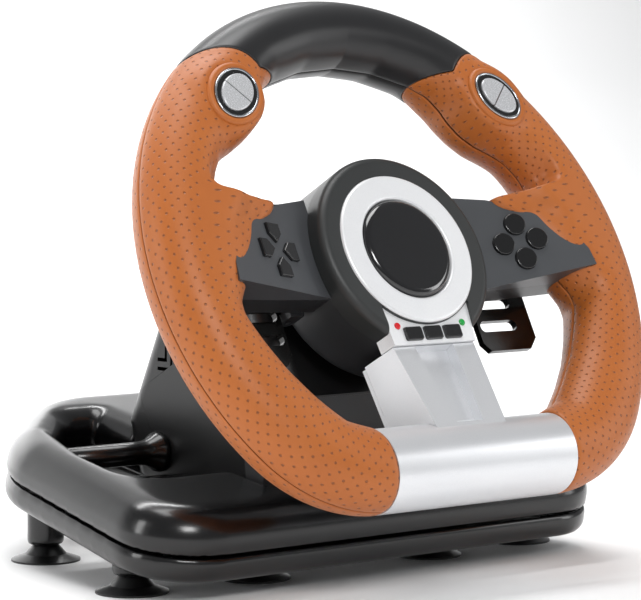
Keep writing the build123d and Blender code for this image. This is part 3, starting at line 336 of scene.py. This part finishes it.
# Zinc-plated steel: bright grey with fine turning marks, on the screws, pins, shaft, spring and weights.
# Real marks are about 0.1 mm apart; they are drawn at 0.6 mm so that they show.
def bare_metal(name, colour, streak, roughness):
    """Machined or drawn metal with fine marks across its tone and relief."""
    material, tree, shader = new_material(name)
    where = add_node(tree, "ShaderNodeTexCoord").outputs["Object"]
    marks = add_node(tree, "ShaderNodeTexNoise", {"Vector": where, "Scale": 1 / (0.6 * mm), "Detail": 3.0})
    tone = add_node(tree, "ShaderNodeMix", {"Factor": marks.outputs["Fac"]}, data_type="RGBA")
    tone.inputs["A"].default_value = linear(colour)
    tone.inputs["B"].default_value = linear(streak)
    tree.links.new(tone.outputs["Result"], shader.inputs["Base Color"])
    relief = add_node(tree, "ShaderNodeBump", {"Height": marks.outputs["Fac"], "Distance": 0.01 * mm})
    tree.links.new(relief.outputs["Normal"], shader.inputs["Normal"])
    shader.inputs["Metallic"].default_value = 1.0
    shader.inputs["Roughness"].default_value = roughness
    return material


zinc_steel = bare_metal("steel_zinc_plated", "#a9abad", "#8d8f92", 0.32)
for node in (
    "base_screws", "wheel_screws", "paddle_pins", "steering_shaft", "centring_spring",
    "rumble_weight_left", "rumble_weight_right",
):
    finish_node(node, zinc_steel)

# Sintered bronze bushes: a warm, dull, slightly porous brown-gold.
bronze = bare_metal("bronze_sintered_bush", "#a8824a", "#8c6a3a", 0.42)
finish_node("shaft_bushes", bronze)

# Suction cups pressed from soft PVC: black, rubbery, with a faint bloom.
cup_pvc = moulded_plastic("pvc_soft_black", "#0d0d0e", "#1c1c1d", 0.36, 3.0, 0.03)
finish_node("suction_cups", cup_pvc)

# The cable gland is a harder PVC grade, duller and slightly grainy.
finish_node("cable_gland", moulded_plastic("pvc_gland_black", "#111112", "#1a1a1b", 0.5, 0.8, 0.05))

# ------------------------------------------------------------------ housing: front and rear shells, front panel
# Two injection-moulded ABS shells screwed to the base round the shaft; the front panel is a separate moulding.
# Satin ABS: black with wide soft highlights and a very fine grain.
satin_abs = moulded_plastic("abs_satin_black", "#0a0a0b", "#0f0f10", 0.34, 0.7, 0.02)
for node in ("housing_front_shell", "housing_rear_shell"):
    finish_node(node, satin_abs)

# Charcoal ABS: a shade lighter and duller than the shells, so that the panel reads as its own piece.
panel_abs = moulded_plastic("abs_charcoal_panel", "#292a2c", "#303133", 0.42, 0.6, 0.02)
finish_node("housing_front_panel", panel_abs)

# ------------------------------------------------------------------ works inside the housing
# Carriers moulded in glass-filled nylon, fibreglass boards and two small motors in drawn steel cans.
# Grey nylon: matt and faintly cloudy.
inner_nylon = moulded_plastic("nylon_natural", "#4a4b4c", "#565758", 0.5, 1.0, 0.03)
for node in ("bearing_carrier", "angle_sensor", "wheel_frame"):
    finish_node(node, inner_nylon)

# Fibreglass board under solder resist: even dark green with a low sheen.
finish_node("main_board", moulded_plastic("fibreglass_board_green", "#17462c", "#1f5a38", 0.4, 0.5, 0.02))
finish_node("button_boards", moulded_plastic("fibreglass_board_thin", "#17462c", "#1f5a38", 0.4, 0.5, 0.02))

# Drawn steel cans: pale, with a brighter sheen than the screws.
finish_node("rumble_motors", bare_metal("steel_drawn_can", "#b5b7b9", "#9c9ea1", 0.3))

# ------------------------------------------------------------------ rear hub shell, paddles and spoke plates
# ABS mouldings screwed through the frame; each paddle turns on a steel pin behind its spoke.
# Spark-eroded charcoal ABS: the fine grain spreads every highlight.
hub_abs = moulded_plastic("abs_spark_eroded_charcoal", "#242527", "#2b2c2e", 0.38, 0.45, 0.03)
finish_node("hub_rear_shell", hub_abs)

# The bezel is textured a little deeper, so it looks duller than the shell.
finish_node("hub_bezel", moulded_plastic("abs_textured_bezel", "#262828", "#2e3030", 0.44, 0.4, 0.035))

# Graphite ABS of the spoke plates: lighter than the hub, with a smooth satin sheen.
plate_abs = moulded_plastic("abs_spoke_graphite", "#434548", "#4b4d50", 0.38, 0.45, 0.03)
for node in ("spoke_plate_left", "spoke_plate_right"):
    finish_node(node, plate_abs)

# Paddles in polished ABS: black with sharp highlights along their edges.
paddle_abs = moulded_plastic("abs_gloss_paddle", "#070706", "#0d0c0b", 0.2, 5.0, 0.015, coat=0.3)
for node in ("paddle_left", "paddle_right"):
    finish_node(node, paddle_abs)

# ------------------------------------------------------------------ keys and menu buttons
# Each is a small ABS cap on a rubber spring that stands just proud of its plate.
# Lacquered ABS: gloss black, with a small sharp highlight on each cap.
key_abs = moulded_plastic("abs_gloss_key", "#060607", "#0c0c0d", 0.14, 4.0, 0.01, coat=0.6)
for node in sorted(frame["nodes"]):
    if node.startswith(("pad_key_", "round_key_", "menu_button_")):
        finish_node(node, key_abs)

# ------------------------------------------------------------------ hub ring, lens, lower panel and lamps
# The ring and panel are ABS mouldings clipped round the lens, and are sprayed like the lower bar.
def sprayed_silver(name, colour, shade, roughness, metallic, flake):
    """Sprayed silver paint: fine metal flake under a satin lacquer."""
    material, tree, shader = new_material(name)
    where = add_node(tree, "ShaderNodeTexCoord").outputs["Object"]
    flakes = add_node(tree, "ShaderNodeTexNoise", {"Vector": where, "Scale": 1 / (flake * mm), "Detail": 1.0})
    cloud = add_node(tree, "ShaderNodeTexNoise", {"Vector": where, "Scale": 1 / (30 * mm), "Detail": 2.0})
    both = {0: flakes.outputs["Fac"], 1: cloud.outputs["Fac"]}
    blend = add_node(tree, "ShaderNodeMath", both, operation="MULTIPLY")
    tone = add_node(tree, "ShaderNodeMix", {"Factor": blend.outputs["Value"]}, data_type="RGBA")
    tone.inputs["A"].default_value = linear(colour)
    tone.inputs["B"].default_value = linear(shade)
    tree.links.new(tone.outputs["Result"], shader.inputs["Base Color"])
    gloss = add_node(tree, "ShaderNodeMapRange", {"Value": flakes.outputs["Fac"]})
    gloss.inputs["To Min"].default_value = 0.85 * roughness
    gloss.inputs["To Max"].default_value = 1.2 * roughness
    tree.links.new(gloss.outputs["Result"], shader.inputs["Roughness"])
    relief = add_node(tree, "ShaderNodeBump", {"Height": flakes.outputs["Fac"], "Distance": 0.012 * mm})
    tree.links.new(relief.outputs["Normal"], shader.inputs["Normal"])
    shader.inputs["Metallic"].default_value = metallic
    shader.inputs["Coat Weight"].default_value = 0.2
    shader.inputs["Coat Roughness"].default_value = 0.25
    return material


# Pearl silver on the ring and panel: nearly white, with a fine sparkle.
ring_paint = sprayed_silver("paint_pearl_silver", "#f5f6f7", "#e2e3e6", 0.4, 0.3, 0.5)
finish_node("hub_ring", ring_paint)
finish_node("lower_panel", ring_paint)

# Satin aluminium paint on the bar and struts: brighter where it faces a lamp, and greyer away from it.
bar_paint = sprayed_silver("paint_satin_aluminium", "#f0f1f3", "#e0e2e6", 0.33, 0.6, 0.5)
for node in ("lower_bar_front", "lower_bar_rear"):
    finish_node(node, bar_paint)

# Back-painted acrylic lens: deep black under a hard clear gloss.
finish_node("hub_lens", moulded_plastic("acrylic_gloss_black", "#08080a", "#111114", 0.1, 12.0, 0.01, coat=0.8))

# Two small acrylic lamps, red on the driver's left and green on the right; each glows a little.
lamp_acrylic, tree, shader = new_material("acrylic_lamp_tinted")
where = add_node(tree, "ShaderNodeTexCoord").outputs["Object"]
across = add_node(tree, "ShaderNodeSeparateXYZ", {"Vector": where}).outputs["X"]
right_side = add_node(tree, "ShaderNodeMath", {0: across, 1: 0.0}, operation="GREATER_THAN").outputs["Value"]
tint = add_node(tree, "ShaderNodeMix", {"Factor": right_side}, data_type="RGBA")
tint.inputs["A"].default_value = linear("#c0141c")
tint.inputs["B"].default_value = linear("#12913c")
tree.links.new(tint.outputs["Result"], shader.inputs["Base Color"])
tree.links.new(tint.outputs["Result"], shader.inputs["Emission Color"])
shader.inputs["Emission Strength"].default_value = 0.25
shader.inputs["Roughness"].default_value = 0.12
shader.inputs["Coat Weight"].default_value = 0.5
finish_node("status_lamps", lamp_acrylic)

# ------------------------------------------------------------------ pods: bezels and shoulder buttons
# Each pod is a gloss-black ABS bezel with two split half-oval caps.
# Metallised caps: pale silver with a soft gloss.
chrome_cap = sprayed_silver("abs_metallised_cap", "#d6d7d9", "#c2c3c6", 0.26, 0.35, 0.4)
for side in ("left", "right"):
    finish_node(f"pod_bezel_{side}", key_abs)
    for end in ("upper", "lower"):
        finish_node(f"pod_button_{side}_{end}", chrome_cap)

# ------------------------------------------------------------------ rim skins: black top cover and orange grips
# The rim is a hollow core clad in two-part skins: hard satin ABS over the top, soft orange elastomer on the grips.
# Front and rear halves are moulded apart and meet in a parting line along the middle of the rim.
rim_radius = 108.5
rim_drop = 6.6
rim_set_back = 9.6
section_radius = 17.0
bar_drop = 92.0
corner_radius = 50.0
bar_half = 48.4
corner_down = bar_drop - corner_radius
corner_across = sqrt((rim_radius - corner_radius) ** 2 - (corner_down - rim_drop) ** 2)
round_end = asin((corner_down - rim_drop) / (rim_radius - corner_radius))
round_length = rim_radius * (pi / 2 + round_end)
corner_length = corner_radius * (pi / 2 - round_end)


def centre_line(run):
    """Point of the rim's centre line and its outward direction, a run in mm from the top, driver's right."""
    if run <= round_length:
        turn = pi / 2 - run / rim_radius
        out = Vector((cos(turn), sin(turn)))
        return Vector((0, -rim_drop)) + rim_radius * out, out
    turn = -round_end - (min(run, round_length + corner_length) - round_length) / corner_radius
    out = Vector((cos(turn), sin(turn)))
    past = max(0.0, run - round_length - corner_length)
    return Vector((corner_across - past, -corner_down)) + corner_radius * out, out


# Inner edge of the rim: degrees round from the driver's right, then across and up in mm.
# It swells round the pod, dips into the thumb notch and spreads into a web along the spoke.
inner_edge = (
    (90, 0, 88.4), (78, 19.8, 86.3), (66, 38.6, 80.2), (60, 47.3, 75.4), (55, 51.8, 69.0), (50, 54.5, 62.5),
    (45, 58.6, 56.4), (40, 65.0, 51.0), (35, 73.5, 46.6), (31, 79.8, 42.4), (27, 83.8, 36.6), (24, 85.8, 31.8),
    (22, 86.2, 27.8), (20.7, 83.5, 24.0), (19.5, 77.0, 21.9), (18.5, 66.0, 22.6), (17.5, 57.5, 24.4),
    (14.4, 61.0, 19.0), (11, 70.0, 13.5), (5, 78.0, 2.0), (-2, 84.5, -10.0), (-5, 88.0, -15.5), (-8, 91.6, -20.5),
    (-12, 92.2, -26.2), (-19, 87.0, -36.6), (-28, 79.5, -48.9), (-37.2, 70.3, -60.0), (-64, 60.0, -70.5),
    (-90, 46.57, -75.2), (-100, 36.0, -75.0),
)
station_step = 0.8
stations = int((round_length + corner_length + 8.0) / station_step)


def degrees_round(run):
    """Angle of a centre-line point, counted on through the corner as its own turn."""
    if run <= round_length:
        return 90 - degrees(run / rim_radius)
    return -degrees(round_end) - degrees((run - round_length) / corner_radius)


edge_points = []
for index in range(stations + 1):
    angle = degrees_round(index * station_step)
    before = max((knot for knot in inner_edge if knot[0] >= angle), key=lambda knot: -knot[0])
    after = max((knot for knot in inner_edge if knot[0] <= angle), key=lambda knot: knot[0])
    share = 0.0 if before[0] == after[0] else (before[0] - angle) / (before[0] - after[0])
    edge_points.append(Vector(before[1:]).lerp(Vector(after[1:]), share))
for _ in range(6):
    edge_points = [edge_points[0]] + [
        (a + 2 * b + c) / 4 for a, b, c in zip(edge_points, edge_points[1:], edge_points[2:])
    ] + [edge_points[-1]]

# Rows of the skins are spaced by how far the centre line and the inner edge travel together.
travelled = [0.0]
for before, after in zip(edge_points, edge_points[1:]):
    travelled.append(travelled[-1] + 0.5 * station_step + 0.5 * (after - before).length)


def travel_to(run):
    place = min(max(abs(run) / station_step, 0.0), stations - 0.001)
    first = int(place)
    way = travelled[first] + (place - first) * (travelled[first + 1] - travelled[first])
    return way if run >= 0 else -way


def run_after(way):
    first = min(max(bisect_right(travelled, abs(way)) - 1, 0), stations - 1)
    part = (abs(way) - travelled[first]) / (travelled[first + 1] - travelled[first])
    return (first + part) * station_step * (1 if way >= 0 else -1)


pod_across, pod_up, pod_face_height = 71.4, 66.7, 7.9
lobe_across = pod_across + 1.6
lobe_radius = 24.0
cover_split = 80.0
scoop_depth = 3.0


def inner_point(run):
    place = min(max(run / station_step, 0.0), stations - 0.001)
    first = int(place)
    return edge_points[first].lerp(edge_points[first + 1], place - first)


def fade(value, low, high):
    """Smooth step from 0 at low to 1 at high."""
    share = min(max((value - low) / (high - low), 0.0), 1.0)
    return share * share * (3 - 2 * share)


def rim_point(run, angle):
    """Across, up and out of the rim's surface: a run from the top, an angle round its section from outside."""
    centre, out = centre_line(run)
    inward = inner_point(run) - centre
    flat = degrees_round(run)
    web = fade(flat, -10, 4) * (1 - fade(flat, 17, 24))
    swell = fade(flat, 30, 40) * (1 - fade(flat, 56, 66))
    power = 2.15 + 0.55 * max(web, swell) if cos(angle) < 0 else 2.1
    reach = abs(cos(angle)) ** (2 / power)
    rise = abs(sin(angle)) ** (2 / power) * (1 if sin(angle) >= 0 else -1)
    flatwise = centre + (out * section_radius * reach if cos(angle) >= 0 else inward * reach)
    height = -rim_set_back + section_radius * rise
    if sin(angle) > 0:
        from_pod = (flatwise - Vector((pod_across, pod_up))).length
        mound = (1 - fade(from_pod, 13.0, 21.0)) * fade(sin(angle), 0.0, 0.55)
        height += mound * max(0.0, pod_face_height - height)
        scoop = fade(flat, 4, 15) * (1 - fade(flat, 22, 30)) * fade(-cos(angle), 0.3, 0.6)
        height -= scoop_depth * scoop * (1 - fade(-cos(angle), 0.75, 1.0))
    return flatwise.x, flatwise.y, height


def split_line(across, up):
    """Above zero under the orange grips: below the level split, or inside the round lobe at the pod."""
    from_lobe = Vector((abs(across) - lobe_across, up - pod_up)).length
    return max(cover_split - up, lobe_radius - from_lobe)


def find_run(angle, low, high, test):
    """Run at which a section angle's line first passes a test."""
    steps = 160
    last = low
    for step in range(1, steps + 1):
        run = low + (high - low) * step / steps
        if test(run, angle) > 0:
            for _ in range(14):
                middle = (last + run) / 2
                if test(middle, angle) > 0:
                    run = middle
                else:
                    last = middle
            return run
        last = run
    return high


end_gap = 0.15      # between the black cover's or the bar's end and the nominal line, mm


def grip_start(angle):
    return find_run(angle, 20.0, 130.0, lambda run, turn: split_line(*rim_point(run, turn)[:2]))


def grip_end(angle):
    corner_end = round_length + corner_length
    return find_run(
        angle, round_length, corner_end + 6.0, lambda run, turn: bar_half + end_gap - rim_point(run, turn)[0],
    )


seam_half_gap = 0.12
section_steps = 44


def section_angles(front):
    """Angles round half of the section, closer together at the parting line so that its edge is rounded."""
    inset = seam_half_gap / section_radius
    even = [0.03 + 0.94 * step / section_steps for step in range(section_steps + 1)]
    share = [0, 0.004, 0.012] + even + [0.988, 0.996, 1]
    turn = 0.0 if front else pi
    return [turn + inset + (pi - 2 * inset) * part for part in share]


skin_thickness = 2.0


def rim_skin(name, front, side, start_of, end_of, rows, material, node):
    """One moulded skin of the rim: a grid wrapped round half of the section between two cut lines."""
    angles = section_angles(front)
    starts = [start_of(angle) for angle in angles]
    ends = [end_of(angle) for angle in angles]
    skin = bmesh.new()
    bmesh.ops.create_grid(skin, x_segments=len(angles) - 1, y_segments=rows, size=1.0)
    chart = skin.loops.layers.uv.new("surface_mm")
    place = {}
    for point in skin.verts:
        column = round((point.co.x + 1) / 2 * (len(angles) - 1))
        row = (point.co.y + 1) / 2
        angle = angles[column]
        run = run_after(travel_to(starts[column]) * (1 - row) + travel_to(ends[column]) * row)
        across, up, out = rim_point(abs(run), angle)
        across = across if run >= 0 else -across
        edge = min(column, len(angles) - 1 - column)
        draw_in = (0.45, 0.2, 0.05)[edge] if edge < 3 else 0.0
        end_draw = min(abs(row), abs(1 - row)) * rows
        draw_in += (0.4, 0.12)[int(round(end_draw))] if end_draw < 1.5 else 0.0
        centre, _ = centre_line(abs(run))
        middle = Vector((centre.x if run >= 0 else -centre.x, centre.y, -rim_set_back))
        spot = Vector((across, up, out))
        spot += (middle - spot).normalized() * draw_in
        place[point.index] = (run, angle * section_radius)
        point.co = hub + mm * (wheel_right * (side * spot.x) + wheel_up * spot.y + wheel_out * spot.z)
    for face in skin.faces:
        for loop in face.loops:
            run, round_it = place[loop.vert.index]
            loop[chart].uv = (run * mm, round_it * mm)
    bmesh.ops.recalc_face_normals(skin, faces=skin.faces)
    probe = skin.faces[len(skin.faces) // 2]
    run, _ = place[probe.verts[0].index]
    centre, _ = centre_line(abs(run))
    middle = hub + mm * (
        wheel_right * (side * (centre.x if run >= 0 else -centre.x)) + wheel_up * centre.y - wheel_out * rim_set_back
    )
    if probe.normal.dot(probe.calc_center_median() - middle) < 0:
        bmesh.ops.reverse_faces(skin, faces=skin.faces)
    mesh = bpy.data.meshes.new(name)
    skin.to_mesh(mesh)
    skin.free()
    piece = new_piece(name, mesh, material, "wheel", node)
    wall = piece.modifiers.new("wall", "SOLIDIFY")
    wall.thickness = skin_thickness * mm
    wall.offset = -1.0


# Satin black ABS: the wide soft highlight along the top of the rim.
cover_abs = moulded_plastic("abs_satin_rim", "#18181a", "#1f1f20", 0.35, 1.5, 0.012)

# Soft orange thermoplastic elastomer, moulded with rows of small round dimples for grip.
dimple_pitch = 3.7 * mm
dimple_size = 0.55 * mm
dimple_depth = 0.35 * mm
elastomer, tree, shader = new_material("elastomer_dimpled_orange")
chart = add_node(tree, "ShaderNodeUVMap", uv_map="surface_mm").outputs["UV"]
turned = add_node(tree, "ShaderNodeMapping", {"Vector": chart, "Rotation": (0, 0, radians(45))})
rows = {"Vector": turned.outputs["Vector"], "Scale": 1 / dimple_pitch, "Randomness": 0.0}
cells = add_node(tree, "ShaderNodeTexVoronoi", rows, voronoi_dimensions="2D")
from_cell = {"Value": cells.outputs["Distance"]}
bowl = add_node(tree, "ShaderNodeMapRange", from_cell, interpolation_type="SMOOTHSTEP")
bowl.inputs["From Min"].default_value = 0.35 * dimple_size / dimple_pitch
bowl.inputs["From Max"].default_value = 1.25 * dimple_size / dimple_pitch
where = add_node(tree, "ShaderNodeTexCoord").outputs["Object"]
cloud = add_node(tree, "ShaderNodeTexNoise", {"Vector": where, "Scale": 1 / (18 * mm), "Detail": 3.0})
body_tone = add_node(tree, "ShaderNodeMix", {"Factor": cloud.outputs["Fac"]}, data_type="RGBA")
body_tone.inputs["A"].default_value = linear("#b25f1e")
body_tone.inputs["B"].default_value = linear("#ba6826")
# Painted shade: each dimple's hollow is coloured a darker brown for the shade that falls in it, on top of the bump
# that gives its relief.
dimple_shade_mix = {"Factor": bowl.outputs["Result"], "B": body_tone.outputs["Result"]}
dimple_shade_tone = add_node(tree, "ShaderNodeMix", dimple_shade_mix, data_type="RGBA")
dimple_shade_tone.inputs["A"].default_value = linear("#87481a")
tree.links.new(dimple_shade_tone.outputs["Result"], shader.inputs["Base Color"])
fine = add_node(tree, "ShaderNodeTexNoise", {"Vector": where, "Scale": 1 / (0.4 * mm), "Detail": 2.0})
skin_relief = add_node(tree, "ShaderNodeBump", {"Height": fine.outputs["Fac"], "Distance": 0.015 * mm})
dimple_relief = add_node(tree, "ShaderNodeBump", {
    "Height": bowl.outputs["Result"], "Distance": dimple_depth, "Normal": skin_relief.outputs["Normal"],
})
tree.links.new(dimple_relief.outputs["Normal"], shader.inputs["Normal"])
shader.inputs["Roughness"].default_value = 0.46
shader.inputs["Sheen Weight"].default_value = 0.08

for front, end in ((True, "front"), (False, "rear")):
    rim_skin(
        f"top_skin_{end}", front, 1, lambda angle: end_gap - grip_start(angle),
        lambda angle: grip_start(angle) - end_gap, 220, cover_abs, f"top_cover_{end}",
    )
    for side, hand in ((-1, "left"), (1, "right")):
        rim_skin(
            f"grip_skin_{hand}_{end}", front, side, lambda angle: grip_start(angle) + 0.1, grip_end,
            260, elastomer, f"grip_{hand}_{end}",
        )

# ------------------------------------------------------------------ pod trims and lips
# The elastomer rises in a rounded lip round each pod, and a thin metallised ring is pressed in between lip and bezel.
pod_turn = atan2(pod_up + rim_drop, pod_across)


def oval_ring(name, side, long, short, thickness, out, material):
    """Ring of round section bent to an oval, on the face of one pod."""
    ring = bmesh.new()
    mean = (long + short) / 2
    upright = Matrix.Translation((mean, 0, 0)) @ Matrix.Rotation(pi / 2, 4, "X")
    bmesh.ops.create_circle(ring, segments=12, radius=thickness, matrix=upright)
    bmesh.ops.spin(
        ring, geom=ring.verts[:] + ring.edges[:], cent=(0, 0, 0), axis=(0, 0, 1),
        angle=2 * pi, steps=72, use_merge=True,
    )
    for point in ring.verts:
        turn = atan2(point.co.y, point.co.x)
        reach = long * short / sqrt((short * cos(turn)) ** 2 + (long * sin(turn)) ** 2)
        point.co += (reach - mean) * Vector((cos(turn), sin(turn), 0))
    turned = Matrix.Rotation(pi / 2 + side * pod_turn, 3, "Z")
    bmesh.ops.rotate(ring, verts=ring.verts, cent=(0, 0, 0), matrix=turned)
    for point in ring.verts:
        across, up, rise = point.co
        point.co = hub + mm * (
            wheel_right * (side * pod_across + across) + wheel_up * (pod_up + up) + wheel_out * (out + rise)
        )
    bmesh.ops.recalc_face_normals(ring, faces=ring.faces)
    mesh = bpy.data.meshes.new(name)
    ring.to_mesh(mesh)
    ring.free()
    new_piece(name, mesh, material, "wheel")


# The trim is metallised to a near mirror; the lip is the grips' elastomer, without dimples.
trim_metal = bare_metal("abs_metallised_trim", "#c9ccd0", "#b4b7bb", 0.2)
lip_rubber = moulded_plastic("elastomer_plain_orange", "#b25f1e", "#ba6826", 0.45, 0.5, 0.015)
for side, hand in ((-1, "left"), (1, "right")):
    oval_ring(f"pod_trim_{hand}", side, 12.1, 9.4, 0.55, 9.0, trim_metal)
    oval_ring(f"pod_lip_{hand}", side, 13.9, 11.2, 1.7, 7.6, lip_rubber)
